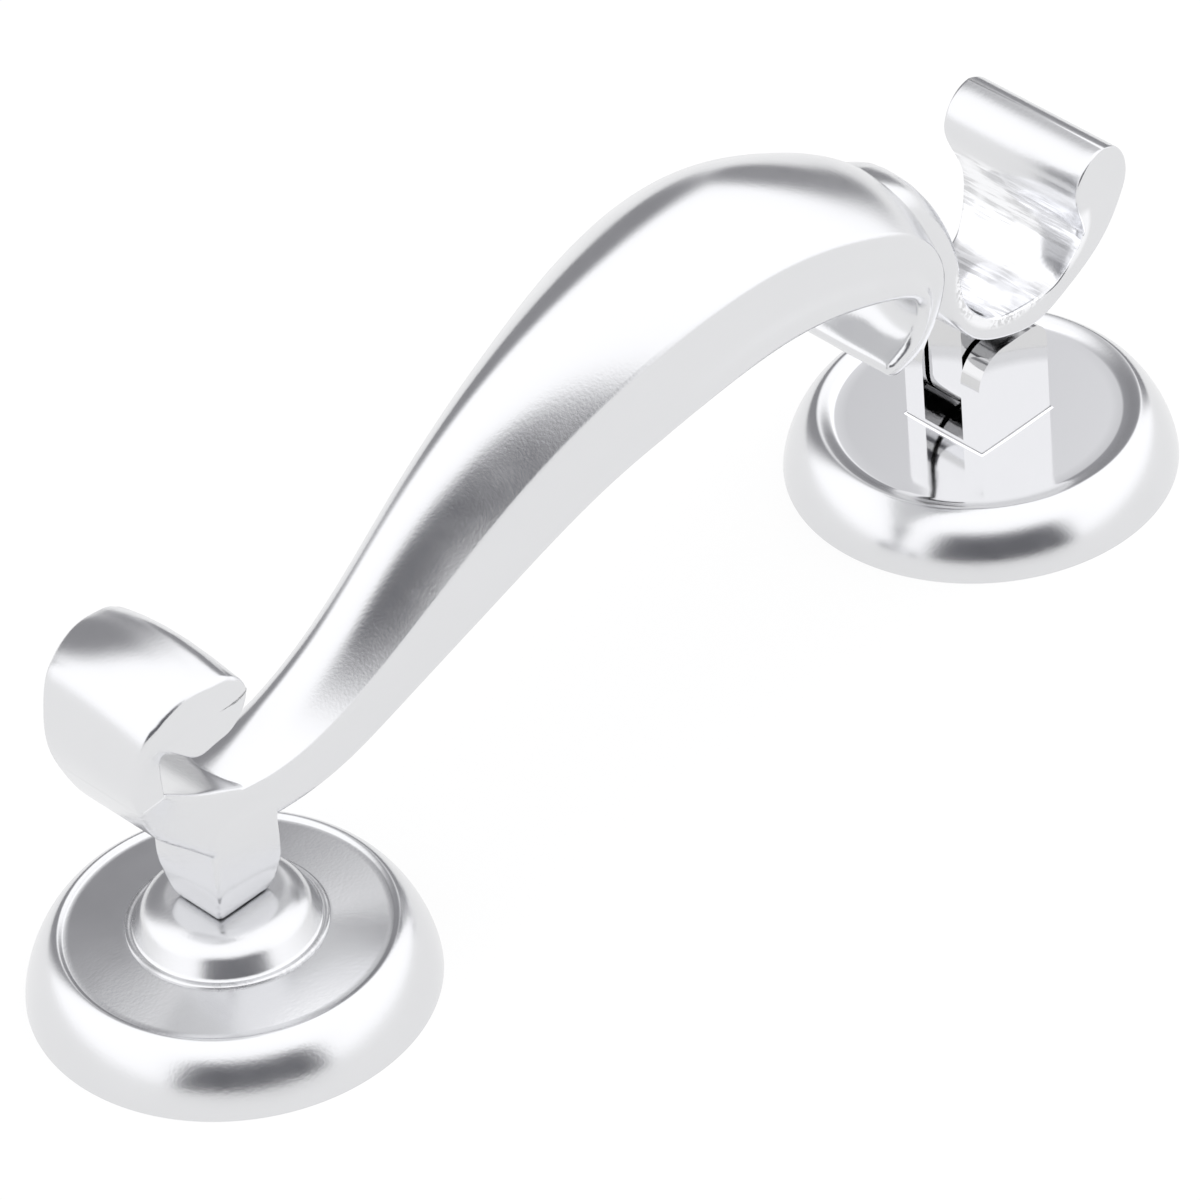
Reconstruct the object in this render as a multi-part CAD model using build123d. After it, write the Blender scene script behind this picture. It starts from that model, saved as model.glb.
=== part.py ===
from build123d import *
import math
import os

# A scroll door knocker that hinges on one round rose and strikes a boss on another.
# Frame: origin at the centre of the hinge rose's flat back, +X along the door to the
# striking rose, +Y along the hinge pin, +Z straight out of the door. Millimetres.

# ---- roses -----------------------------------------------------------------------
centre_distance = 148.0
rose_radius = 28.5
rim_radius = 23.3            # top of the rounded rim
rim_roundness = 1.35         # 1 is a quarter ellipse, 2 is a straight chamfer
hinge_rim_height = 9.4
hinge_face_height = 8.7
rim_step_width = 1.6         # hollow curve from the rim down to the hinge rose's face
strike_rim_height = 10.0
strike_face_height = 9.6
back_recess_radius = 13.0
back_recess_depth = 3.4
web_thickness = 2.4          # rose metal between the back recess and the clevis seat

# ---- fixings behind the roses ------------------------------------------------------
spigot_radius = 5.0
thread_core_radius = 2.5     # M6 tapping size
clevis_thread_depth = 7.6
boss_thread_depth = 10.0
washer_thickness = 0.8
washer_radius = 9.0
nut_thickness = 2.0
nut_across_flats = 17.0
seat_clearance = 0.1         # radial, spigots, washers and nuts in their holes

# ---- clevis, pin and tongue --------------------------------------------------------
clevis_width = 14.7          # along the pin
clevis_depth = 14.2          # along the door
socket_clearance = 0.3       # each side, between the block and its square socket
slot_width = 7.5
slot_floor_height = 9.5
pin_height = 17.5
pin_radius = 2.5
pin_end_wall = 0.9           # metal left over the pin's blind end
ear_top_above_pin = 7.4
ear_front_round = 5.4
ear_back_round = 3.2
running_clearance = 0.05
tongue_side_gap = 0.45          # each side, between the tongue and the ears
tongue_radius = 6.1
tenon_radius = 2.6
fixed_clearance = 0.02

# ---- striking boss ------------------------------------------------------------------
boss_foot_radius = 14.0
boss_foot_height = 1.0
boss_crown_height = 6.2      # above the striking rose's face
boss_flat_radius = 6.0
strike_gap = 0.2

# ---- knocker arm --------------------------------------------------------------------
# Sections across the arm. Place is the point midway along the soft ridge that parts the
# crowned top from the flank; lean is the section's tilt, 0 where the arm runs level.
# Columns: along, up, lean in degrees, half width, crown, flank depth, hollow below.
# The hood end is measured from the pin axis, the strike end from the top of the boss,
# and the three middle sections stand at a share of the way between the two.
hood_sections = [
    (67.3, 51.4, 10.0, 12.5, 8.7, 12.9, 4.0),
    (49.3, 52.8, -4.0, 13.8, 8.1, 12.0, 6.0),
    (33.1, 48.3, -24.0, 13.9, 5.7, 10.6, 6.5),
    (21.6, 40.6, -50.0, 13.2, 4.6, 9.0, 5.0),
    (17.3, 31.6, -82.0, 12.0, 3.2, 6.6, 2.4),
    (18.0, 25.0, -107.0, 11.0, 2.2, 5.2, 1.0),
    (21.0, 20.0, -135.0, 10.3, 1.2, 4.6, 0.4),
    (24.8, 18.2, -152.0, 9.9, 0.6, 3.8, 0.2),
]
strike_sections = [
    (1.5, 21.4, 5.0, 5.9, 0.8, 8.0, 0.0),
    (-5.0, 20.7, 8.0, 6.15, 2.8, 8.0, 0.0),
    (-13.5, 21.2, 20.0, 6.3, 5.6, 8.6, 0.0),
]
middle_sections = [
    (0.17, -1.3, 28.0, 6.7, 7.2, 9.2, 0.0),
    (0.43, 0.7, 29.0, 8.1, 9.3, 11.2, 0.8),
    (0.71, 2.4, 21.0, 10.2, 9.6, 12.4, 2.2),
]

# ---- striking block and the root of the lower scroll ------------------------------
block_bottom_depth = 9.6
block_bottom_width = 8.8
block_depth = 12.0
block_width = 12.4
block_taper_height = 7.5
block_height = 17.0

# ---- scrolls -------------------------------------------------------------------------
# Cuts across each band: outer edge (along, up), inner edge (along, up), half width.
# The upper scroll is measured from the pin axis, the lower one from the boss top.
upper_scroll_cuts = [
    (20.5, 29.5, 22.0, 44.0, 7.0),
    (15.8, 28.0, 15.0, 40.0, 7.6),
    (14.0, 24.7, 10.9, 34.5, 8.3),
    (13.2, 21.0, 9.7, 27.5, 8.5),
    (11.8, 17.5, 9.8, 21.6, 8.5),
    (9.0, 14.0, 8.1, 17.8, 8.5),
    (5.5, 11.4, 5.0, 14.8, 8.5),
    (0.5, 9.6, 0.6, 13.2, 8.6),
    (-4.3, 9.5, -4.0, 13.2, 9.0),
    (-8.7, 12.2, -7.4, 14.7, 9.8),
    (-12.8, 16.3, -9.9, 18.5, 11.0),
    (-16.0, 20.9, -10.9, 22.3, 12.0),
    (-18.2, 25.7, -9.7, 26.3, 12.6),
    (-19.0, 29.5, -8.7, 30.5, 13.0),
    (-18.6, 32.8, -9.2, 34.1, 13.0),
    (-16.5, 35.5, -11.4, 36.3, 13.0),
]
scroll_root_cuts = [
    (2.0, 10.5, -2.4, 20.6, 6.0),
    (5.6, 13.0, 3.3, 23.5, 6.2),
    (10.9, 18.4, 8.1, 26.2, 6.7),
    (16.4, 24.7, 12.3, 29.5, 7.6),
    (19.2, 31.0, 14.4, 31.3, 8.5),
]
lower_scroll_cuts = [
    (19.2, 31.0, 14.4, 31.3, 8.5),
    (20.2, 36.4, 14.9, 36.8, 9.0),
    (19.6, 40.9, 14.7, 38.9, 9.6),
    (17.7, 45.8, 13.3, 38.6, 10.4),
    (14.4, 48.6, 11.6, 37.1, 10.9),
    (10.6, 49.7, 9.8, 36.5, 11.3),
    (6.6, 49.3, 7.0, 37.2, 11.6),
    (3.6, 47.8, 4.2, 38.9, 11.7),
    (2.0, 45.5, 2.3, 41.8, 11.7),
]
dowel_radius = 1.3
dowel_length = 6.0
neck_dowel_radius = 1.8
neck_dowel_length = 8.0
neck_dowel_along = 15.4
neck_dowel_above_pin = 33.0


# ---- roses -----------------------------------------------------------------------
def rim_outline(height):
    """Rounded rim from the door up to the top of the rim, as a curve."""
    points = []
    for step in range(9):
        turn = math.radians(90.0 * step / 8)
        out = rim_radius + (rose_radius - rim_radius) * math.cos(turn) ** rim_roundness
        points.append((out, 0, height * math.sin(turn) ** rim_roundness))
    return Spline(points)


def turned(*edges):
    """Solid of revolution about Z from a closed outline in the X-Z plane."""
    return revolve(make_face(Wire(list(edges))), Axis.Z, 360)


def path(*points):
    """Straight edges through points given as (radius, height)."""
    corners = [(out, 0, up) for out, up in points]
    return Polyline(corners).edges()


def back_recess():
    return extrude(Circle(back_recess_radius), back_recess_depth)


def make_hinge_rose():
    rim = rim_outline(hinge_rim_height)
    face_edge = rim_radius - rim_step_width
    middle = (rim_radius - 0.7 * rim_step_width, 0,
              hinge_face_height + 0.25 * (hinge_rim_height - hinge_face_height))
    step = ThreePointArc((rim_radius, 0, hinge_rim_height), middle,
                         (face_edge, 0, hinge_face_height))
    close = path((face_edge, hinge_face_height), (0, hinge_face_height), (0, 0), (rose_radius, 0))
    rose = turned(rim, step, *close)
    socket_floor = back_recess_depth + web_thickness
    socket = Pos(0, 0, socket_floor) * extrude(
        Rectangle(clevis_depth + 2 * socket_clearance, clevis_width + 2 * socket_clearance),
        rose_radius)
    hole = Cylinder(spigot_radius + seat_clearance, 4 * rose_radius)
    return rose - socket - back_recess() - hole


def make_strike_rose():
    rim = rim_outline(strike_rim_height)
    step = rim_radius - 0.6
    close = path((rim_radius, strike_rim_height), (step, strike_face_height),
                 (0, strike_face_height), (0, 0), (rose_radius, 0))
    rose = turned(rim, *close)
    hole = Cylinder(spigot_radius + seat_clearance, 4 * rose_radius)
    return Pos(centre_distance, 0, 0) * (rose - back_recess() - hole)


# ---- hinge ---------------------------------------------------------------------------
def make_clevis():
    """Square block with a slot for the tongue, its ears rounded over at the top."""
    seat = back_recess_depth + web_thickness
    top = pin_height + ear_top_above_pin
    block = Pos(0, 0, seat) * extrude(Rectangle(clevis_depth, clevis_width), top - seat)
    front = block.edges().filter_by(Axis.Y).group_by(Axis.Z)[-1].sort_by(Axis.X)[-1]
    block = fillet(front, ear_front_round)
    back = block.edges().filter_by(Axis.Y).group_by(Axis.Z)[-1].sort_by(Axis.X)[0]
    block = fillet(back, ear_back_round)
    slot = Pos(0, 0, slot_floor_height) * extrude(
        Rectangle(2 * clevis_depth, slot_width), 2 * top)
    spigot = extrude(Circle(spigot_radius), seat)
    thread = extrude(Circle(thread_core_radius), clevis_thread_depth)
    return block - slot + spigot - thread - pin_bar(pin_radius)


def pin_bar(radius):
    """Round bar along the hinge axis, from the far ear's face to the blind end."""
    length = clevis_width - pin_end_wall
    start = -clevis_width / 2
    return Pos(0, start, pin_height) * Rot(-90, 0, 0) * extrude(Circle(radius), length)


def make_washer(x):
    """Plain washer against the metal at the end of a rose's back recess."""
    ring = Circle(washer_radius) - Circle(spigot_radius + seat_clearance)
    return Pos(x, 0, back_recess_depth - washer_thickness) * extrude(ring, washer_thickness)


def make_nut(x):
    """Thin hexagon nut on the spigot, under the washer."""
    ring = RegularPolygon(nut_across_flats / 2, 6, major_radius=False) - Circle(spigot_radius)
    top = back_recess_depth - washer_thickness
    return Pos(x, 0, top - nut_thickness) * extrude(ring, nut_thickness)


def make_boss():
    """Turned striking boss: foot, rounded shoulder and a small flat top, on a spigot."""
    foot = strike_face_height + boss_foot_height
    top = strike_face_height + boss_crown_height
    shoulder = Spline([(boss_foot_radius, 0, foot),
                       (0.8 * boss_foot_radius, 0, foot + 0.55 * (top - foot)),
                       (boss_flat_radius, 0, top)])
    close = path((boss_flat_radius, top), (0, top), (0, 0), (spigot_radius, 0),
                 (spigot_radius, strike_face_height), (boss_foot_radius, strike_face_height),
                 (boss_foot_radius, foot))
    thread = extrude(Circle(thread_core_radius), boss_thread_depth)
    return Pos(centre_distance, 0, 0) * (turned(shoulder, *close) - thread)


# ---- knocker ---------------------------------------------------------------------
def boss_top():
    return strike_face_height + boss_crown_height


def arm_stations():
    """Every arm section as (x, z, lean, half width, crown, depth, hollow)."""
    hood = [(x, pin_height + z, *rest) for x, z, *rest in hood_sections]
    strike = [(centre_distance + x, boss_top() + z, *rest) for x, z, *rest in strike_sections]
    first, last = strike[-1], hood[0]
    middle = []
    for share, rise, *rest in middle_sections:
        x = first[0] + share * (last[0] - first[0])
        z = first[1] + share * (last[1] - first[1]) + rise
        middle.append((x, z, *rest))
    return strike + middle + hood


def arm_section(x, z, lean, half_width, crown, depth, hollow):
    """Closed outline: hollowed bottom, upright flanks and a half-ellipse crown."""
    tilt = math.radians(lean)
    plane = Plane(origin=(x, 0, z), x_dir=(0, 1, 0), z_dir=(math.cos(tilt), 0, -math.sin(tilt)))
    bottom = ThreePointArc((-half_width, -depth), (0, hollow - depth - 0.05), (half_width, -depth))
    right = Line((half_width, -depth), (half_width, 0))
    top = EllipticalCenterArc((0, 0), half_width, crown, start_angle=0, arc_size=180)
    left = Line((-half_width, 0), (-half_width, -depth))
    return plane * make_face(Wire([bottom, right, top, left]))


def make_band(cuts, along, up):
    """Solid through rectangular cuts, each given by its outer and inner edge."""
    faces = []
    for out_x, out_z, in_x, in_z, half_width in cuts:
        thickness = math.hypot(in_x - out_x, in_z - out_z)
        across = ((in_x - out_x) / thickness, 0, (in_z - out_z) / thickness)
        middle = (along + (out_x + in_x) / 2, 0, up + (out_z + in_z) / 2)
        plane = Plane(origin=middle, x_dir=(0, 1, 0), z_dir=Vector(0, 1, 0).cross(Vector(*across)))
        faces.append(plane * Rectangle(2 * half_width, thickness))
    return loft(faces)


def make_block():
    """Striking block, narrowest at its lower face."""
    bottom = boss_top() + strike_gap
    low = Pos(centre_distance, 0, bottom) * Rectangle(block_bottom_depth, block_bottom_width)
    mid = Pos(centre_distance, 0, bottom + block_taper_height) * Rectangle(block_depth, block_width)
    top = Pos(centre_distance, 0, bottom + block_height) * Rectangle(block_depth, block_width)
    return loft([low, mid], ruled=True) + loft([mid, top], ruled=True)


def make_seam_dowel():
    """Dowel across the brazed seam between the arm and the lower scroll."""
    out_x, out_z, in_x, in_z, _ = lower_scroll_cuts[0]
    middle = Pos(centre_distance + (out_x + in_x) / 2, 0, boss_top() + (out_z + in_z) / 2)
    return middle * Cylinder(dowel_radius, dowel_length)


def make_neck_dowel():
    """Dowel along the door between the back of the hood and the upper scroll."""
    place = Pos(neck_dowel_along, 0, pin_height + neck_dowel_above_pin) * Rot(0, 90, 0)
    return place * Cylinder(neck_dowel_radius, neck_dowel_length)


def make_tongue(blank):
    """Lug that turns on the pin, with a tenon riveted flush through the upper scroll."""
    side = Circle(tongue_radius) + Pos(0, tongue_radius) * Rectangle(2 * tongue_radius,
                                                                     2 * tongue_radius)
    lug = extrude(Plane.XZ * Pos(0, pin_height) * side, slot_width / 2 - tongue_side_gap, both=True)
    tenon = Pos(0, 0, pin_height) * extrude(Circle(tenon_radius), 3 * tongue_radius)
    return (lug - blank) + (tenon & blank) - pin_bar(pin_radius + running_clearance)


def make_knocker():
    """Arm, both scrolls, tongue and dowels, cut to meet face to face."""
    seam_dowel, neck_dowel = make_seam_dowel(), make_neck_dowel()
    arm = loft([arm_section(*row) for row in arm_stations()])
    arm = arm + make_block() + make_band(scroll_root_cuts, centre_distance, boss_top())
    lower = make_band(lower_scroll_cuts, centre_distance, boss_top()) - seam_dowel
    blank = make_band(upper_scroll_cuts, 0, pin_height)
    tenon_hole = Pos(0, 0, pin_height) * extrude(
        Circle(tenon_radius + fixed_clearance), 3 * tongue_radius)
    upper = (blank - arm - tenon_hole).solids().sort_by(Axis.X)[0] - neck_dowel
    return {
        "knocker_arm": arm - seam_dowel - neck_dowel,
        "lower_scroll": lower,
        "upper_scroll": upper,
        "hinge_tongue": make_tongue(blank),
        "seam_dowel": seam_dowel,
        "neck_dowel": neck_dowel,
    }


pieces = {
    "hinge_rose": make_hinge_rose(),
    "clevis": make_clevis(),
    "hinge_pin": pin_bar(pin_radius),
    "hinge_washer": make_washer(0),
    "hinge_nut": make_nut(0),
    "strike_rose": make_strike_rose(),
    "strike_boss": make_boss(),
    "strike_washer": make_washer(centre_distance),
    "strike_nut": make_nut(centre_distance),
}
pieces.update(make_knocker())

os.makedirs("parts", exist_ok=True)
for name, piece in pieces.items():
    export_step(piece, f"parts/{name}.step")
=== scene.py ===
import math

import bpy
import numpy as np
from mathutils import Matrix, Vector


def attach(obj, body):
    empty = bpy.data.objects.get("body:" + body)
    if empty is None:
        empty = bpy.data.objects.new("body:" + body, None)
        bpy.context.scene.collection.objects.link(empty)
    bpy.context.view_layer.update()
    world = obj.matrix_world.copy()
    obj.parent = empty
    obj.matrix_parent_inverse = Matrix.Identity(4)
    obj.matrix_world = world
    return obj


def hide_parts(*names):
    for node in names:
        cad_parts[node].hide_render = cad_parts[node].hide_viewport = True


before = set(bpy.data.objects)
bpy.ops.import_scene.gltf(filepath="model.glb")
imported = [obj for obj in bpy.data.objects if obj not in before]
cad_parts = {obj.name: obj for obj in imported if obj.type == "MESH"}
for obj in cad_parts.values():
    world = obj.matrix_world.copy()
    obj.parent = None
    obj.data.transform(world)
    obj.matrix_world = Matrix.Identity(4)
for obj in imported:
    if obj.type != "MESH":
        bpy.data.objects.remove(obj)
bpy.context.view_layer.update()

MM = 0.001

# ---- hinge rose ---------------------------------------------------------------------
# Round brass casting that hides the hinge's fixing. Its rim is satin chrome and its face
# was buffed to a mirror before plating. The clevis stands in the square socket.
HINGE_ROSE_RADIUS = 28.5
HINGE_RIM_RADIUS = 23.3
HINGE_RIM_ROUNDNESS = 1.35
HINGE_RIM_HEIGHT = 9.4
HINGE_FACE_HEIGHT = 8.7
FACE_RADIUS = 20.6
FACE_RINGS = (19.0, 15.5, 13.0)
SOCKET_FLOOR = 5.8
SOCKET_HALF = (7.14, 7.39)
SOCKET_BEAD = [     # out from the socket's side, above the face
    (0.60, 0.0), (0.50, 0.0), (0.44, 0.02), (0.26, 0.16), (0.20, 0.18), (0.03, 0.16), (0.0, 0.12),
]
RECESS_DEPTH = 3.4
RECESS_RADIUS = 13.0
RECESS_EASING = 0.1
SPIGOT_HOLE = 5.1


def skin(rows, around=True, closed=False):
    """Closed surface over a grid of points in millimetres, rows by columns.

    Each row is a loop. A closed stack of rows joins its last row to its first, and an
    open one gets a fan to the middle of its first row and of its last. Faces are turned
    outwards by the sign of the volume, the sum of each face's corner products.
    """
    count, sides, _ = rows.shape
    points = rows.reshape(-1, 3) * MM
    first = np.arange(count if closed else count - 1)[:, None] * sides
    second = (first + sides) % (count * sides)
    here = np.arange(sides)[None, :]
    after = (here + 1) % sides
    quads = np.stack([first + here, first + after, second + after, second + here], -1).reshape(-1, 4)
    fans = np.zeros((0, 3), int)
    if not closed:
        middles = np.stack([rows[0].mean(0), rows[-1].mean(0)]) * MM
        start = np.stack([after[0], here[0], np.full(sides, len(points))], -1)
        last = (count - 1) * sides
        end = np.stack([last + here[0], last + after[0], np.full(sides, len(points) + 1)], -1)
        points = np.concatenate([points, middles])
        fans = np.concatenate([start, end])
    thirds = np.concatenate([quads[:, [0, 1, 2]], quads[:, [0, 2, 3]], fans])
    a, b, c = points[thirds[:, 0]], points[thirds[:, 1]], points[thirds[:, 2]]
    if (a * np.cross(b, c)).sum() < 0:
        quads = quads[:, ::-1]
        fans = fans[:, ::-1]
    return points, quads.tolist() + fans.tolist()


def make_piece(name, shells, material, sharp=40.0):
    """One object from closed shells, smooth shaded but for edges sharper than an angle."""
    points = np.concatenate([shell[0] for shell in shells])
    faces = []
    base = 0
    for shell_points, shell_faces in shells:
        faces += [[corner + base for corner in face] for face in shell_faces]
        base += len(shell_points)
    mesh = bpy.data.meshes.new(name)
    mesh.from_pydata(points.tolist(), [], faces)
    mesh.shade_smooth()
    mesh.set_sharp_from_angle(angle=math.radians(sharp))
    mesh.materials.append(material)
    made = bpy.data.objects.new(name, mesh)
    bpy.context.collection.objects.link(made)
    return made


class Shade:
    """One socket of a node tree, on which arithmetic adds Math nodes."""

    def __init__(self, tree, socket=None):
        self.tree = tree
        self.socket = socket

    def node(self, kind, settings=None, inputs=None, out=0):
        """Adds a node: first its settings, then its sockets' values or links."""
        made = self.tree.nodes.new(kind)
        for name, value in (settings or {}).items():
            setattr(made, name, value)
        for name, value in (inputs or {}).items():
            if isinstance(value, Shade):
                self.tree.links.new(value.socket, made.inputs[name])
            else:
                made.inputs[name].default_value = value
        return Shade(self.tree, made.outputs[out])

    def math(self, operation, first, second):
        return self.node("ShaderNodeMath", {"operation": operation}, {0: first, 1: second})

    def __add__(self, other):
        return self.math("ADD", self, other)

    def __sub__(self, other):
        return self.math("SUBTRACT", self, other)

    def __rsub__(self, other):
        return self.math("SUBTRACT", other, self)

    def __mul__(self, other):
        return self.math("MULTIPLY", self, other)

    __radd__ = __add__
    __rmul__ = __mul__

    def along(self, vector):
        """Dot product of this vector with a fixed one."""
        return self.node("ShaderNodeVectorMath", {"operation": "DOT_PRODUCT"},
                         {0: self, 1: tuple(vector)}, 1)

    def step(self, low, high):
        """Smooth step, 0 at low and 1 at high."""
        return self.node("ShaderNodeMapRange", {"interpolation_type": "SMOOTHSTEP"},
                         {"Value": self, "From Min": low, "From Max": high})

    def mix(self, first, second):
        """Colour going from the first to the second as this value goes from 0 to 1."""
        return self.node("ShaderNodeMix", {"data_type": "RGBA"}, {0: self, 6: first, 7: second}, 2)

    def noise(self, scale, detail=2.0, squeeze=(1, 1, 1)):
        """Noise on this vector, in millimetres, finer along an axis with a larger squeeze."""
        spread = self.node("ShaderNodeVectorMath", {"operation": "MULTIPLY"},
                           {0: self, 1: tuple(s / MM for s in squeeze)})
        return spread.node("ShaderNodeTexNoise", None,
                           {"Vector": spread, "Scale": scale, "Detail": detail})


def start_material(name):
    """A new metal: its tree's Object coordinates, its shader node and itself."""
    material = bpy.data.materials.new(name)
    material.use_nodes = True
    tree = material.node_tree
    shader = tree.nodes["Principled BSDF"]
    shader.inputs["Metallic"].default_value = 1.0
    place = Shade(tree).node("ShaderNodeTexCoord", out=3)
    return place, shader, material


def chrome(name, roughness, grain, tint=(0.735, 0.738, 0.75), polished=None, tooling=None):
    """Chrome plate over a finished casting.

    Roughness wanders by a tenth with a slow noise, and a fine grain gives the satin its
    bloom. Polished is a function that gives a 0 to 1 mask of brighter buffed metal from
    Object coordinates. Tooling does the same for wheel marks along Y: the noise is drawn
    out that way and kept to patches, where it dulls, scores and stains the metal.
    """
    place, shader, material = start_material(name)
    slow = place.noise(0.09, 3.0)
    fine = place.noise(2.2, 2.0)
    clouds = place.noise(0.35, 4.0)
    rough = roughness + (slow - 0.5) * 0.10 + (clouds - 0.5) * 0.05
    depth = fine * grain
    colour = (clouds * 0.35 + slow * 0.65).mix(tuple(t * 0.975 for t in tint) + (1,),
                                              tuple(t * 1.015 for t in tint) + (1,))
    if polished:
        mask = polished(place)
        colour = mask.mix(colour, tuple(t * 1.26 for t in tint) + (1,))
        rough = rough * (1 - mask) + (0.055 + clouds * 0.05) * mask
        depth = depth * (1 - mask * 0.9)
    if tooling:
        marked = tooling(place)
        lines = place.noise(1.6, 6.0, (1.0, 0.08, 1.0))
        patch = place.noise(0.16, 2.0).step(0.42, 0.62)
        rough = rough + marked * patch * (lines - 0.3) * 0.30
        depth = depth + marked * patch * lines * 1.2
        stain = marked * patch * lines.step(0.42, 0.60)
        colour = (stain * 0.55).mix(colour, tuple(t * 0.55 for t in tint) + (1,))
    tree = material.node_tree
    tree.links.new(colour.socket, shader.inputs["Base Color"])
    tree.links.new(rough.socket, shader.inputs["Roughness"])
    bump = depth.node("ShaderNodeBump", None, {"Strength": 0.25, "Distance": 0.00004, "Height": depth})
    tree.links.new(bump.socket, shader.inputs["Normal"])
    return material


def axis_distance(place, x=0.0):
    """Distance in metres from an upright axis at x millimetres along the door."""
    moved = place.node("ShaderNodeVectorMath", {"operation": "SUBTRACT"}, {0: place, 1: (x * MM, 0, 0)})
    flat = moved.node("ShaderNodeVectorMath", {"operation": "MULTIPLY"}, {0: moved, 1: (1, 1, 0)})
    return flat.node("ShaderNodeVectorMath", {"operation": "LENGTH"}, {0: flat}, 1)


def rim_profile(radius, rim_radius, height, roundness, steps=28):
    """Radius and height of a rounded rim, cosine and sine of a quarter turn to a power."""
    turn = np.linspace(0.0, np.pi / 2, steps)
    cosine = np.clip(np.cos(turn), 0, 1)
    return rim_radius + (radius - rim_radius) * cosine ** roundness, height * np.sin(turn) ** roundness


def eighths(half, each=20):
    """Angles round a rectangle, with its corners among them, evenly spaced in each eighth."""
    corner = math.atan2(half[1], half[0])
    stops = [0, corner, math.pi / 2, math.pi - corner, math.pi, math.pi + corner,
             1.5 * math.pi, 2 * math.pi - corner, 2 * math.pi]
    return np.interp(np.arange(8 * each) / each, np.arange(9), stops)


def underside(top):
    """Radii and heights from the spigot's hole, out under the recess, to the back's edge."""
    radii = [SPIGOT_HOLE, SPIGOT_HOLE, RECESS_RADIUS - RECESS_EASING, RECESS_RADIUS,
             RECESS_RADIUS + RECESS_EASING]
    return radii, [top, RECESS_DEPTH, RECESS_DEPTH, RECESS_DEPTH - RECESS_EASING, 0.0]


def turned(radii, heights, angles, square=None, squares=(), x=0.0):
    """Grid of a profile carried round an upright axis, square where its rows are listed.

    A square row's reach at an angle is the distance to the rectangle's nearest side, with
    the row's radius added.
    """
    cosine, sine = np.cos(angles), np.sin(angles)
    reach = np.repeat(np.asarray(radii, float)[:, None], len(angles), 1)
    if square:
        edge = np.minimum(square[0] / np.maximum(abs(cosine), 1e-9),
                          square[1] / np.maximum(abs(sine), 1e-9))
        for row in squares:
            reach[row] = edge + radii[row]
    level = np.repeat(np.asarray(heights, float)[:, None], len(angles), 1)
    return np.stack([x + reach * cosine, reach * sine, level], -1)


def hinge_rose_rows():
    """Up the rim, down a cosine hollow to the face, into the socket and back underneath.

    The rings from the socket's bead inwards are square, the others round.
    """
    rim_r, rim_z = rim_profile(HINGE_ROSE_RADIUS, HINGE_RIM_RADIUS, HINGE_RIM_HEIGHT, HINGE_RIM_ROUNDNESS)
    fall = np.linspace(0, np.pi, 15)[1:]
    hollow_r = HINGE_RIM_RADIUS + (FACE_RADIUS - HINGE_RIM_RADIUS) * fall / np.pi
    hollow_z = HINGE_FACE_HEIGHT + (HINGE_RIM_HEIGHT - HINGE_FACE_HEIGHT) * (1 + np.cos(fall)) / 2
    radii = list(rim_r) + list(hollow_r) + list(FACE_RINGS)
    heights = list(rim_z) + list(hollow_z) + [HINGE_FACE_HEIGHT] * len(FACE_RINGS)
    first_square = len(radii)
    radii += [out for out, rise in SOCKET_BEAD] + [-0.02]
    heights += [HINGE_FACE_HEIGHT + rise for out, rise in SOCKET_BEAD] + [SOCKET_FLOOR]
    squares = range(first_square, len(radii))
    under_r, under_z = underside(SOCKET_FLOOR)
    return turned(radii + under_r, heights + under_z, eighths(SOCKET_HALF), SOCKET_HALF, squares)


hinge_rose_metal = chrome("satin_rim_mirror_face", 0.20, 0.5,
                          polished=lambda place: axis_distance(place).step(22.2 * MM, 20.4 * MM))
hinge_rose = make_piece("hinge_rose_casting", [skin(hinge_rose_rows(), closed=True)], hinge_rose_metal, 30)
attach(hinge_rose, "root")
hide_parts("hinge_rose")

# ---- striking rose --------------------------------------------------------------------
# The other round casting, satin all over. A shallow cone rises from the step inside its
# rim to the boss, and a bolt from behind holds it to the door.
STRIKE_X = 148.0
STRIKE_RIM_HEIGHT = 10.0
STRIKE_STEP = [(22.95, 9.95), (22.7, 9.7)]
STRIKE_STEP_RADIUS = 22.4
STRIKE_FACE_LOW = 9.6
STRIKE_FACE_HIGH = 10.6
BOSS_SEAT_RADIUS = 13.6
BOSS_SEAT_HEIGHT = 9.4


def strike_rose_rows():
    """Up the rim, over the step, up the cone to the boss and back underneath."""
    rim_r, rim_z = rim_profile(HINGE_ROSE_RADIUS, HINGE_RIM_RADIUS, STRIKE_RIM_HEIGHT, HINGE_RIM_ROUNDNESS)
    cone = np.linspace(0, 1, 12)
    cone_r = STRIKE_STEP_RADIUS + (BOSS_SEAT_RADIUS - STRIKE_STEP_RADIUS) * cone
    cone_z = STRIKE_FACE_LOW + (STRIKE_FACE_HIGH - STRIKE_FACE_LOW) * cone
    radii = list(rim_r) + [radius for radius, level in STRIKE_STEP] + list(cone_r)
    heights = list(rim_z) + [level for radius, level in STRIKE_STEP] + list(cone_z)
    under_r, under_z = underside(BOSS_SEAT_HEIGHT)
    angles = np.linspace(0, 2 * np.pi, 192, endpoint=False)
    return turned(radii + under_r, heights + under_z, angles, x=STRIKE_X)


satin = chrome("satin_chrome", 0.22, 1.0)
strike_rose = make_piece("strike_rose_casting", [skin(strike_rose_rows(), closed=True)], satin, 50)
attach(strike_rose, "root")
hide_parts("strike_rose")

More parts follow.
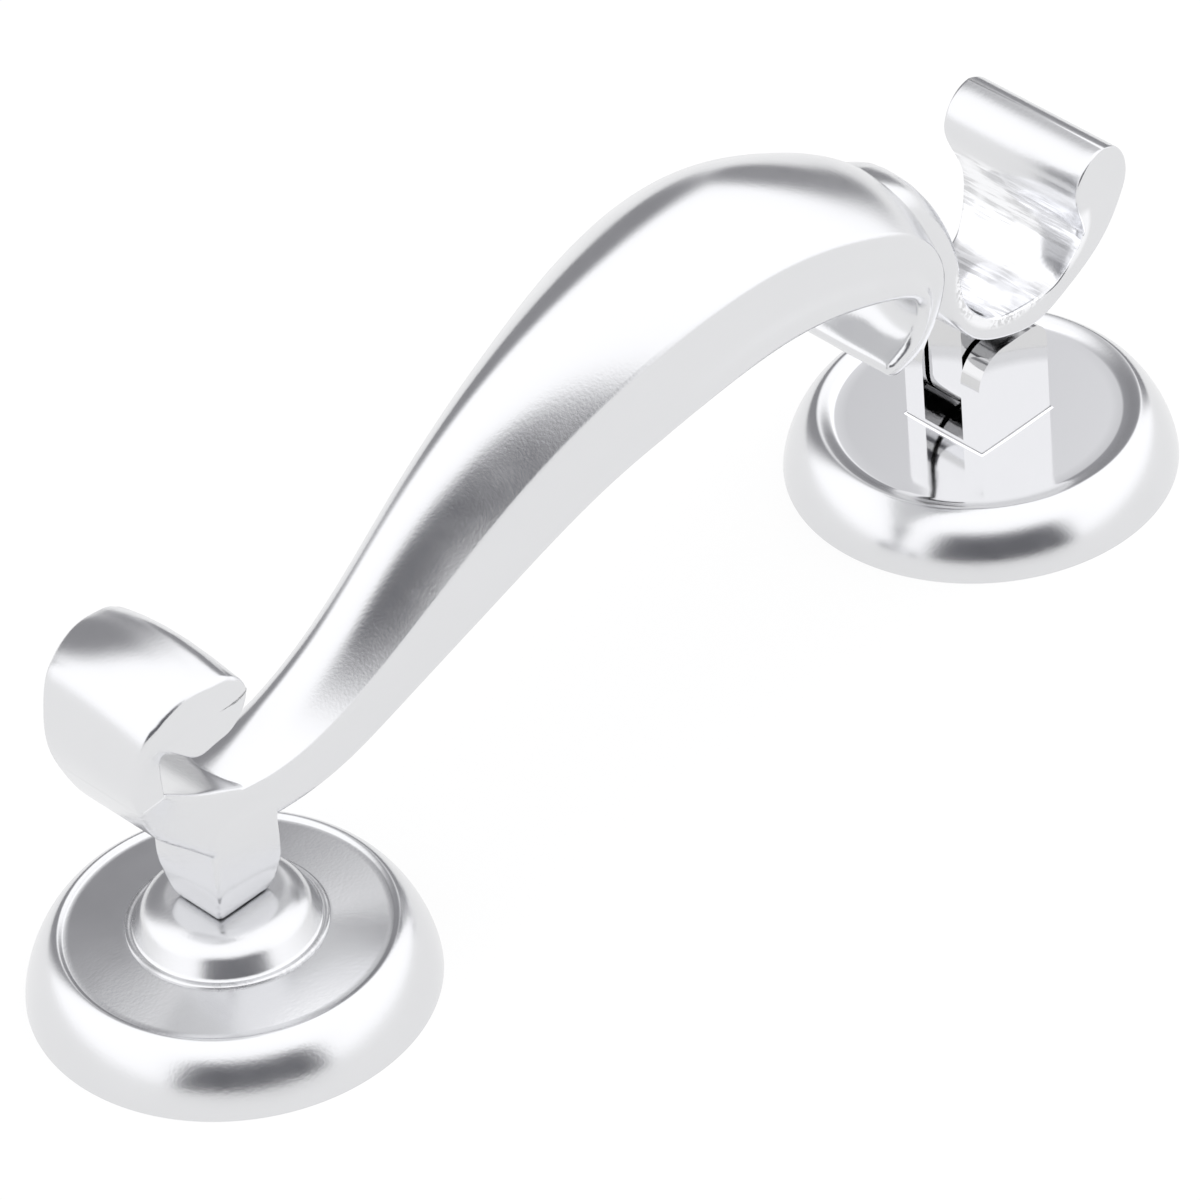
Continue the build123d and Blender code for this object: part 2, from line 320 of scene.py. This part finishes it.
# ---- striking boss --------------------------------------------------------------------
# Button that the knocker lands on, cast with a grainy ring round its foot, satin chrome.
# Its spigot goes down through the rose to the nut.
BOSS_FOOT = [(14.0, 10.2), (14.0, 10.85), (13.8, 11.05), (13.4, 11.08), (13.1, 11.02)]
BOSS_FLANK_RADIUS = 13.0
BOSS_SPIGOT_RADIUS = 5.0
BOSS_TOP = 15.8
BOSS_SLOPE = math.radians(62)
BOSS_FLANK = 2.6
BOSS_SHOULDER = 5.0


def boss_rows():
    """Foot ring, a steep flank, a shoulder whose slope eases evenly to none, and the flat top.

    Each point of the profile is one stride on from the last, along the slope's cosine and
    up its sine. The rows run from the middle of the top, outwards, to the spigot's end.
    """
    slope = np.concatenate([[BOSS_SLOPE] * 6, np.linspace(BOSS_SLOPE, 0, 22)])
    stride = np.concatenate([[0.0], [BOSS_FLANK / 5] * 5, [BOSS_SHOULDER / 22] * 22])
    flank_r = BOSS_FLANK_RADIUS - np.cumsum(stride * np.cos(slope))
    flank_z = np.cumsum(stride * np.sin(slope))
    radii = [radius for radius, level in BOSS_FOOT] + list(flank_r) + [5.0, 3.0, 1.0]
    heights = [level for radius, level in BOSS_FOOT]
    heights += list(BOSS_TOP - flank_z[-1] + flank_z) + [BOSS_TOP] * 3
    spigot_r = [BOSS_SPIGOT_RADIUS, BOSS_SPIGOT_RADIUS, 1.0]
    spigot_z = [BOSS_FOOT[0][1], 0.0, 0.0]
    angles = np.linspace(0, 2 * np.pi, 160, endpoint=False)
    return turned(radii[::-1] + spigot_r, heights[::-1] + spigot_z, angles, x=STRIKE_X)


boss_metal = chrome("satin_boss", 0.25, 1.0,
                    tooling=lambda place: axis_distance(place, STRIKE_X).step(13.0 * MM, 13.4 * MM))
boss = make_piece("strike_boss_casting", [skin(boss_rows())], boss_metal, 50)
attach(boss, "root")
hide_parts("strike_boss")

# ---- knocker arm ----------------------------------------------------------------------
# The long casting: a crowned arm that widens to a hollow hood, the striking block under
# its thin end and the root of the lower scroll. Fettled by hand, then satin chromed.
PIN_HEIGHT = 17.5
# Places along the ridge between crown and flank. Columns: along, up, lean in degrees, half
# width, crown, flank's depth, hollow below. The hood is measured from the pin, the strike
# end from the top of the boss, and the middle stands at a share of the way with a rise.
HOOD_STATIONS = [
    (67.3, 51.4, 10.0, 12.5, 8.7, 12.9, 4.0),
    (49.3, 52.8, -4.0, 13.8, 8.1, 12.0, 6.0),
    (33.1, 48.3, -24.0, 13.9, 5.7, 10.6, 6.5),
    (21.6, 40.6, -50.0, 13.2, 4.6, 9.0, 5.0),
    (17.3, 31.6, -82.0, 12.0, 3.2, 6.6, 2.4),
    (18.0, 25.0, -107.0, 11.0, 2.2, 5.2, 1.0),
    (21.0, 20.0, -135.0, 10.3, 1.2, 4.6, 0.4),
    (24.8, 18.2, -152.0, 9.9, 0.6, 3.8, 0.2),
]
STRIKE_STATIONS = [
    (1.5, 21.4, 5.0, 5.9, 0.8, 8.0, 0.0),
    (-5.0, 20.7, 8.0, 6.15, 2.8, 8.0, 0.0),
    (-13.5, 21.2, 20.0, 6.3, 5.6, 8.6, 0.0),
]
MIDDLE_STATIONS = [
    (0.17, -1.3, 28.0, 6.7, 7.2, 9.2, 0.0),
    (0.43, 0.7, 29.0, 8.1, 9.3, 11.2, 0.8),
    (0.71, 2.4, 21.0, 10.2, 9.6, 12.4, 2.2),
]
FLANK_BOW = 0.35
FLANK_FLARE = 1.4
FOOT_RADIUS = 1.5
LIP_ROUNDING = 1.9
# Cuts across the scroll's root: outer edge along and up, inner edge the same, half width.
ROOT_CUTS = [
    (2.0, 10.5, -2.4, 20.6, 6.0),
    (5.6, 13.0, 3.3, 23.5, 6.2),
    (10.9, 18.4, 8.1, 26.2, 6.7),
    (16.4, 24.7, 12.3, 29.5, 7.6),
    (19.2, 31.0, 14.4, 31.3, 8.5),
]
# The striking block: height above the boss, half depth, half width.
BLOCK_LEVELS = [
    (0.2, 4.6, 4.2),
    (0.7, 4.9, 4.5),
    (3.0, 5.45, 5.35),
    (6.0, 5.95, 6.1),
    (9.0, 6.0, 6.25),
    (13.0, 6.0, 6.25),
    (17.0, 6.0, 6.2),
]
BLOCK_CORNER = 0.55
JOINT_LATTICE = 0.3
JOINT_REACH = 22.0          # length of the arm's thin end that is eased with the joint
JOINT_INSET = 0.10
VALLEY = (STRIKE_X - 4, 0, BOSS_TOP + 18)
VALLEY_REACH = 11


def natural_spline(knots, values, at):
    """Natural cubic spline through the values, its second slopes from a linear system."""
    knots = np.asarray(knots, float)
    values = np.asarray(values, float)
    gap = np.diff(knots)
    rise = np.diff(values, axis=0) / gap[:, None]
    system = np.eye(len(knots))
    right = np.zeros_like(values)
    inner = np.arange(1, len(knots) - 1)
    system[inner, inner - 1] = gap[:-1]
    system[inner, inner] = 2 * (gap[:-1] + gap[1:])
    system[inner, inner + 1] = gap[1:]
    right[inner] = 6 * np.diff(rise, axis=0)
    bend = np.linalg.solve(system, right)
    cell = np.clip(np.searchsorted(knots, at, side="right") - 1, 0, len(gap) - 1)
    width = gap[cell][:, None]
    left = (at - knots[cell])[:, None]
    rest = width - left
    return ((bend[cell] * rest ** 3 + bend[cell + 1] * left ** 3) / (6 * width)
            + (values[cell] / width - bend[cell] * width / 6) * rest
            + (values[cell + 1] / width - bend[cell + 1] * width / 6) * left)


def along_path(table, places, step):
    """Rows of a table carried on by splines at even steps of the path through its places."""
    table = np.asarray(table, float)
    places = np.asarray(places, float)
    length = np.concatenate([[0], np.cumsum(np.linalg.norm(np.diff(places, axis=0), axis=1))])
    at = np.linspace(0, length[-1], int(length[-1] / step) + 2)
    return natural_spline(length, table, at)


def arm_table():
    """Stations from the strike end to the lip of the hood, in the frame's x and z."""
    hood = [(x, PIN_HEIGHT + z, *rest) for x, z, *rest in HOOD_STATIONS]
    strike = [(STRIKE_X + x, BOSS_TOP + z, *rest) for x, z, *rest in STRIKE_STATIONS]
    last, first = strike[-1], hood[0]
    middle = []
    for share, rise, *rest in MIDDLE_STATIONS:
        x = last[0] + (first[0] - last[0]) * share
        z = last[1] + (first[1] - last[1]) * share + rise
        middle.append((x, z, *rest))
    return strike + middle + hood


def arm_rows(step=0.6, reach=None, inset=0.0):
    """Loops across the arm: crown, ridge, flank, lower edge and hollow underside.

    The crown is a hyperbola, the root of one plus the squared share of the half width,
    which meets the flank at a ridge. The flank bows out by a sine and flares by a cosine
    step where the arm is wide. Its foot is a quarter round, and the underside is a cosine
    hollow between the two feet. With a reach only the strike end is made, slimmer by the
    inset. Without one the lip of the hood is rounded, as the last loop shrinks by cosine
    while it moves on by sine.
    """
    table = arm_table()
    rows = along_path(table, [row[:2] for row in table], step)
    if reach:
        rows = rows[:int(reach / step)]
        rows[:, 3:5] -= inset
        rows[:, 5] -= 2 * inset
        rows[:, 1] -= inset
    x, z, lean, half, crown, flank, hollow = (column[:, None] for column in rows.T)
    across = np.linspace(0, 1, 25)[None, :]
    crown_y = half * across
    crown_up = crown * (math.sqrt(2) - np.sqrt(1 + across ** 2)) / (math.sqrt(2) - 1)
    share = np.linspace(0, 1, 15)[None, 1:]
    foot = np.minimum(FOOT_RADIUS, flank * 0.3)
    flare = FLANK_FLARE * np.clip((half - 6.5) / 5, 0, 1)
    half_low = half + flare
    bow = FLANK_BOW * np.clip((half - 6.2) / 2, 0, 1)
    flared = (1 - np.cos(np.pi * np.clip(share * 2.2 - 1.2, 0, 1))) / 2
    flank_y = half + bow * np.sin(np.pi * share) + flare * flared
    flank_up = -(flank - foot) * share
    quarter = np.linspace(0, np.pi / 2, 7)[None, 1:]
    foot_y = half_low - foot * (1 - np.cos(quarter))
    foot_up = -(flank - foot) - foot * np.sin(quarter)
    inward = np.linspace(0, 1, 13)[None, 1:]
    under_y = (half_low - foot) * (1 - inward)
    under_up = -flank + hollow * (1 - np.cos(np.pi * np.minimum(inward * 1.35, 1))) / 2
    side = np.concatenate([crown_y, flank_y, foot_y, under_y], 1)
    up = np.concatenate([crown_up, flank_up, foot_up, under_up], 1)
    opposite = side.shape[1] - 1
    side = np.concatenate([side, -side[:, -2:0:-1]], 1)
    up = np.concatenate([up, up[:, -2:0:-1]], 1)
    tilt = np.radians(lean)
    rows = np.stack([x + up * np.sin(tilt), side, z + up * np.cos(tilt)], -1)
    if reach:
        return rows
    last = rows[-1]
    ahead = last[0] - rows[-2, 0]
    ahead = LIP_ROUNDING * ahead / np.linalg.norm(ahead)
    middle = (last[0] + last[opposite]) / 2
    lips = []
    for turn in np.radians([20, 40, 58, 74, 85]):
        shrink = math.cos(turn)
        loop = middle + (last - middle) * (shrink, 0.9 + 0.1 * shrink, shrink)
        lips.append(loop + ahead * math.sin(turn))
    return np.concatenate([rows, np.array(lips)])


def rounded_loop(thick, wide, radius):
    """Loop round a rectangle with rounded corners, as shares across and along Y.

    Each corner is a quarter circle about its centre, and each flat has a point close to
    both of its ends, so that the shading turns only in the corner.
    """
    inner = np.array([[0.06, 0.2, 0.4, 0.6, 0.8, 0.94]])
    angle = np.linspace(0, np.pi / 2, 7)[None, :]
    across, side = [], []
    a, b = thick - radius, wide - radius
    for sign_a, sign_b, start in ((1, 1, 0), (-1, 1, 1), (-1, -1, 2), (1, -1, 3)):
        turn = angle + start * np.pi / 2
        across.append(sign_a * a + radius * np.cos(turn))
        side.append(sign_b * b + radius * np.sin(turn))
        if start % 2 == 0:
            across.append(sign_a * a * (1 - 2 * inner))
            side.append(np.repeat(sign_b * wide, inner.shape[1], 1))
        else:
            across.append(np.repeat(sign_a * thick, inner.shape[1], 1))
            side.append(sign_b * b * (1 - 2 * inner))
    return np.concatenate(across, 1), np.concatenate(side, 1)


def band_rows(cuts, offset, step, radius=0.5, bow=0.0):
    """Loops across a band between two edge lines: a rounded rectangle at each cut.

    Columns of the cuts are the outer edge's x and z, the inner edge's x and z, the half
    width and, if there is one, the corners' radius. With a bow the outer side falls away
    towards its edges by the square of the share, a little at first and all from half way.
    The spline's path is the run of both edges together, scaled to about that of one.
    """
    cuts = np.asarray(cuts, float)
    cuts[:, [0, 2]] += offset[0]
    cuts[:, [1, 3]] += offset[1]
    rows = along_path(cuts, cuts[:, 0:4] * 0.7, step)
    outer, inner, half = rows[:, 0:2], rows[:, 2:4], rows[:, 4:5]
    thick = np.linalg.norm(inner - outer, axis=1)[:, None] / 2
    corner = rows[:, 5:6] if cuts.shape[1] > 5 else np.full_like(half, radius)
    corner = np.minimum(np.minimum(corner, thick * 0.98), half * 0.98)
    across, side = rounded_loop(thick, half, corner)
    if bow:
        rising = np.sin(np.pi / 2 * np.clip(np.linspace(0, 2, len(rows)), 0, 1))[:, None] ** 2
        across = across + bow * rising * np.minimum(thick / 5, 1) * (side / half) ** 2 * (across < 0)
    middle = (outer + inner)[:, None, :] / 2
    heading = ((inner - outer) / (2 * thick))[:, None, :]
    place = middle + heading * across[:, :, None]
    return np.stack([place[..., 0], side, place[..., 1]], -1)


def block_rows():
    """Loops round the striking block from its foot up into the arm."""
    levels = np.asarray(BLOCK_LEVELS)
    rows = along_path(levels, levels[:, [0, 0]], 0.5)
    across, side = rounded_loop(rows[:, 1:2], rows[:, 2:3], np.full((len(rows), 1), BLOCK_CORNER))
    level = np.repeat(rows[:, 0:1] + BOSS_TOP, across.shape[1], 1)
    return np.stack([STRIKE_X + across, side, level], -1)


def fuse(piece, voxel, rounds, soft_at, soft_reach, soft_rounds):
    """Unites a piece's overlapping shells in one skin and eases it.

    The skin is rebuilt on a lattice, and then each round moves every vertex half way to
    the mean of its neighbours. The soft rounds act by a cosine fall-off about a point.
    """
    lattice = piece.modifiers.new("lattice", "REMESH")
    lattice.mode = "VOXEL"
    lattice.voxel_size = voxel * MM
    mesh = bpy.data.meshes.new_from_object(piece.evaluated_get(bpy.context.evaluated_depsgraph_get()))
    piece.modifiers.clear()
    points = np.empty(len(mesh.vertices) * 3)
    mesh.vertices.foreach_get("co", points)
    points = points.reshape(-1, 3)
    edges = np.empty(len(mesh.edges) * 2, int)
    mesh.edges.foreach_get("vertices", edges)
    ends = np.concatenate([edges.reshape(-1, 2), edges.reshape(-1, 2)[:, ::-1]])
    shares = np.bincount(ends[:, 0], minlength=len(points))[:, None]
    away = np.linalg.norm(points / MM - np.array(soft_at), axis=1) / soft_reach
    weight = (0.5 + 0.5 * np.cos(np.pi * np.clip(away, 0, 1)))[:, None]
    for turn in range(rounds + soft_rounds):
        mean = np.stack([np.bincount(ends[:, 0], points[ends[:, 1], axis], len(points))
                         for axis in range(3)], -1) / shares
        pull = 0.5 if turn < rounds else 0.5 * weight
        points = points + pull * (mean - points)
    mesh.vertices.foreach_set("co", points.ravel())
    mesh.shade_smooth()
    piece.data = mesh


def unite(piece, other):
    """Joins another object's solid to a piece's by a boolean union, and drops the other."""
    union = piece.modifiers.new("union", "BOOLEAN")
    union.operation = "UNION"
    union.solver = "MANIFOLD"
    union.object = other
    mesh = bpy.data.meshes.new_from_object(piece.evaluated_get(bpy.context.evaluated_depsgraph_get()))
    piece.modifiers.clear()
    bpy.data.objects.remove(other)
    mesh.shade_smooth()
    mesh.set_sharp_from_angle(angle=math.radians(55))
    piece.data = mesh


arm = make_piece("knocker_arm_casting", [skin(arm_rows())], satin)
joint_shells = [skin(band_rows(ROOT_CUTS, (STRIKE_X, BOSS_TOP), 0.6)), skin(block_rows()),
                skin(arm_rows(reach=JOINT_REACH, inset=JOINT_INSET))]
joint = make_piece("joint", joint_shells, satin)
fuse(joint, JOINT_LATTICE, 3, VALLEY, VALLEY_REACH, 30)
unite(arm, joint)
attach(arm, "knocker")
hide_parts("knocker_arm")

# ---- lower scroll ---------------------------------------------------------------------
# A separate casting dowelled to the root, curled forward into a thick round eye. The
# thin line of the joint still shows under the plate.
EYE_CUTS = [
    (19.2, 31.0, 14.4, 31.3, 8.5),
    (20.2, 36.4, 14.9, 36.8, 9.0),
    (19.6, 40.9, 14.7, 38.9, 9.6),
    (17.7, 45.8, 13.3, 38.6, 10.4),
    (14.4, 48.6, 11.6, 37.1, 10.9),
    (10.6, 49.7, 9.8, 36.5, 11.3),
    (6.6, 49.3, 7.0, 37.2, 11.6),
]
EYE_LENGTH = 5.4
EYE_CORNER = 0.8
EYE_BOW = 2.1


def round_end(cuts, length):
    """Cuts with a half-ellipse end: the last one shrinks by cosine as it moves on by sine."""
    last = np.asarray(cuts[-1], float)
    before = np.asarray(cuts[-2], float)
    middle = (last[0:2] + last[2:4]) / 2
    reach = (last[2:4] - last[0:2]) / 2
    ahead = np.array([-reach[1], reach[0]]) / np.linalg.norm(reach)
    ahead *= np.sign(ahead @ (middle - (before[0:2] + before[2:4]) / 2))
    ends = []
    for turn in np.radians([18, 36, 52, 66, 78, 86]):
        centre = middle + ahead * length * math.sin(turn)
        spread = reach * math.cos(turn)
        ends.append((*(centre - spread), *(centre + spread), *last[4:]))
    return list(cuts) + ends


eye_rows = band_rows(round_end(EYE_CUTS, EYE_LENGTH), (STRIKE_X, BOSS_TOP), 0.4, EYE_CORNER, EYE_BOW)
eye = make_piece("lower_scroll_casting", [skin(eye_rows)], satin, 60)
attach(eye, "knocker")
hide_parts("lower_scroll")

# ---- upper scroll ---------------------------------------------------------------------
# The casting behind the hood: a round neck that drops into a U over the hinge and ends in
# a fat roll. Satin outside, buffed inside the U, where the wheel left its marks. The last
# column of the cuts is the radius of their corners.
CURL_CUTS = [
    (20.5, 29.5, 23.0, 47.5, 7.2, 7.0),
    (15.8, 28.0, 15.8, 43.6, 7.7, 7.2),
    (14.0, 24.7, 11.3, 36.3, 8.3, 5.4),
    (13.2, 21.0, 9.7, 28.3, 8.5, 3.4),
    (11.8, 17.5, 9.8, 21.6, 8.5, 1.2),
    (9.0, 14.0, 8.1, 18.0, 8.5, 0.5),
    (5.5, 11.4, 5.0, 15.1, 8.5, 0.5),
    (0.5, 9.6, 0.6, 13.6, 8.6, 0.5),
    (-4.3, 9.5, -4.0, 13.6, 9.0, 0.5),
    (-8.7, 12.2, -7.4, 14.9, 9.8, 0.5),
    (-12.8, 16.3, -9.9, 18.5, 11.0, 0.5),
    (-16.0, 20.9, -10.9, 22.3, 12.0, 0.5),
    (-18.2, 25.7, -9.7, 26.3, 12.6, 0.5),
    (-19.0, 29.5, -8.7, 30.5, 13.0, 0.5),
]
ROLL_LENGTH = 6.0
CURL_MIDDLE = PIN_HEIGHT + 24


def inside_curl(place):
    """Mask of the U's inside, 1 near the line along its middle and below the rolled end."""
    moved = place.node("ShaderNodeVectorMath", {"operation": "SUBTRACT"},
                       {0: place, 1: (0.0, 0.0, CURL_MIDDLE * MM)})
    flat = moved.node("ShaderNodeVectorMath", {"operation": "MULTIPLY"}, {0: moved, 1: (1, 0, 1)})
    away = flat.node("ShaderNodeVectorMath", {"operation": "LENGTH"}, {0: flat}, 1)
    below = place.along((0, 0, 1)).step((CURL_MIDDLE + 4) * MM, (CURL_MIDDLE + 2) * MM)
    return away.step(12.2 * MM, 11.2 * MM) * below


curl_metal = chrome("satin_chrome_buffed_inside", 0.22, 1.0, polished=inside_curl, tooling=inside_curl)
curl_rows = band_rows(round_end(CURL_CUTS, ROLL_LENGTH), (0.0, PIN_HEIGHT), 0.4)
curl = make_piece("upper_scroll_casting", [skin(curl_rows)], curl_metal, 60)
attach(curl, "knocker")
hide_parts("upper_scroll")

# ---- hinge metal ----------------------------------------------------------------------
# The clevis and the tongue are bright chrome over machined brass, the pin and the dowels
# ground steel, and the washers and nuts behind the roses plain zinc-plated steel.
bright = chrome("bright_chrome", 0.07, 0.12, tint=(0.66, 0.66, 0.665))
ground_steel = chrome("ground_steel", 0.22, 0.6, tint=(0.56, 0.55, 0.54))
zinc = chrome("zinc_plate", 0.42, 1.0, tint=(0.62, 0.63, 0.66))
FINISHES = {
    "clevis": bright, "hinge_tongue": bright, "hinge_pin": ground_steel,
    "seam_dowel": ground_steel, "neck_dowel": ground_steel, "hinge_washer": zinc,
    "hinge_nut": zinc, "strike_washer": zinc, "strike_nut": zinc,
}
for node, metal in FINISHES.items():
    bpy.data.objects[node].data.materials.clear()
    bpy.data.objects[node].data.materials.append(metal)

# ---- floor, light and camera ----------------------------------------------------------
# The knocker lies on its roses on a white sweep, as on a door laid flat. A white tent
# lights it softly from all round, with dark gaps low down that draw the metal's streaks.
AIM = np.array([75.75, 0.0, 21.18]) * MM
CAMERA_DISTANCE = 1.2798
CAMERA_TURN = math.radians(48.087)      # from +X towards +Y
CAMERA_RISE = math.radians(39.40)
CAMERA_ROLL = math.radians(-4.884)
LENS = 277.68
FLOOR_HALF = 6.0
WHITE = 1.38


def direction(turn, rise):
    """Unit vector at a turn from +X towards +Y and a rise above the floor, in radians."""
    return Vector((math.cos(turn) * math.cos(rise), math.sin(turn) * math.cos(rise), math.sin(rise)))


def light_tent():
    """White all round, but for soft dark patches by angle from a heading, and a low grey band.

    One patch lies low towards the camera and fades out above a third of the way up. Two
    more lie behind the knocker, and the darker of them counts where they meet.
    """
    world = bpy.data.worlds.new("light_tent")
    world.use_nodes = True
    bpy.context.scene.world = world
    tree = world.node_tree
    view = Shade(tree).node("ShaderNodeTexCoord")
    rise = view.node("ShaderNodeSeparateXYZ", None, {0: view}, 2)
    front = view.along(direction(math.radians(54), 0)).step(0.70, 0.84) * rise.step(0.54, 0.38)
    right = view.along(direction(math.radians(252), math.radians(22))).step(0.766, 0.951)
    left = view.along(direction(math.radians(206), math.radians(10))).step(0.90, 0.975)
    back = right.math("MAXIMUM", right, left)
    low = rise.step(-0.02, 0.02) * rise.step(0.12, 0.03)
    glow = WHITE - front.math("MAXIMUM", front * 1.26, back * 1.06) - low * 0.15
    tree.nodes["Background"].inputs["Strength"].default_value = 1.0
    colour = glow.node("ShaderNodeCombineColor", None, {0: glow, 1: glow, 2: glow + 0.015})
    tree.links.new(colour.socket, tree.nodes["Background"].inputs["Color"])


def lay_floor():
    """Square white sheet under the roses, which glows a little so that shadows stay faint."""
    paper = bpy.data.materials.new("white_sweep")
    paper.use_nodes = True
    shader = paper.node_tree.nodes["Principled BSDF"]
    shader.inputs["Base Color"].default_value = (0.14, 0.14, 0.14, 1)
    shader.inputs["Roughness"].default_value = 1.0
    shader.inputs["Specular IOR Level"].default_value = 0.0
    shader.inputs["Emission Color"].default_value = (1, 1, 1, 1)
    shader.inputs["Emission Strength"].default_value = 0.86
    sheet = bpy.data.meshes.new("floor")
    corners = [(-FLOOR_HALF, -FLOOR_HALF, 0), (FLOOR_HALF, -FLOOR_HALF, 0),
               (FLOOR_HALF, FLOOR_HALF, 0), (-FLOOR_HALF, FLOOR_HALF, 0)]
    sheet.from_pydata(corners, [], [(0, 1, 2, 3)])
    sheet.materials.append(paper)
    floor = bpy.data.objects.new("floor", sheet)
    bpy.context.collection.objects.link(floor)


def place_camera():
    """Long lens above the near side of the strike end, rolled a few degrees."""
    lens = bpy.data.cameras.new("camera")
    lens.lens = LENS
    lens.sensor_width = 36.0
    lens.clip_end = 50.0
    camera = bpy.data.objects.new("camera", lens)
    bpy.context.collection.objects.link(camera)
    away = direction(CAMERA_TURN, CAMERA_RISE)
    turned_to = away.to_track_quat("Z", "Y").to_matrix() @ Matrix.Rotation(CAMERA_ROLL, 3, "Z")
    camera.matrix_world = Matrix.Translation(Vector(AIM) + away * CAMERA_DISTANCE) @ turned_to.to_4x4()
    bpy.context.scene.camera = camera


light_tent()
lay_floor()
place_camera()
bpy.context.scene.view_settings.view_transform = "Standard"
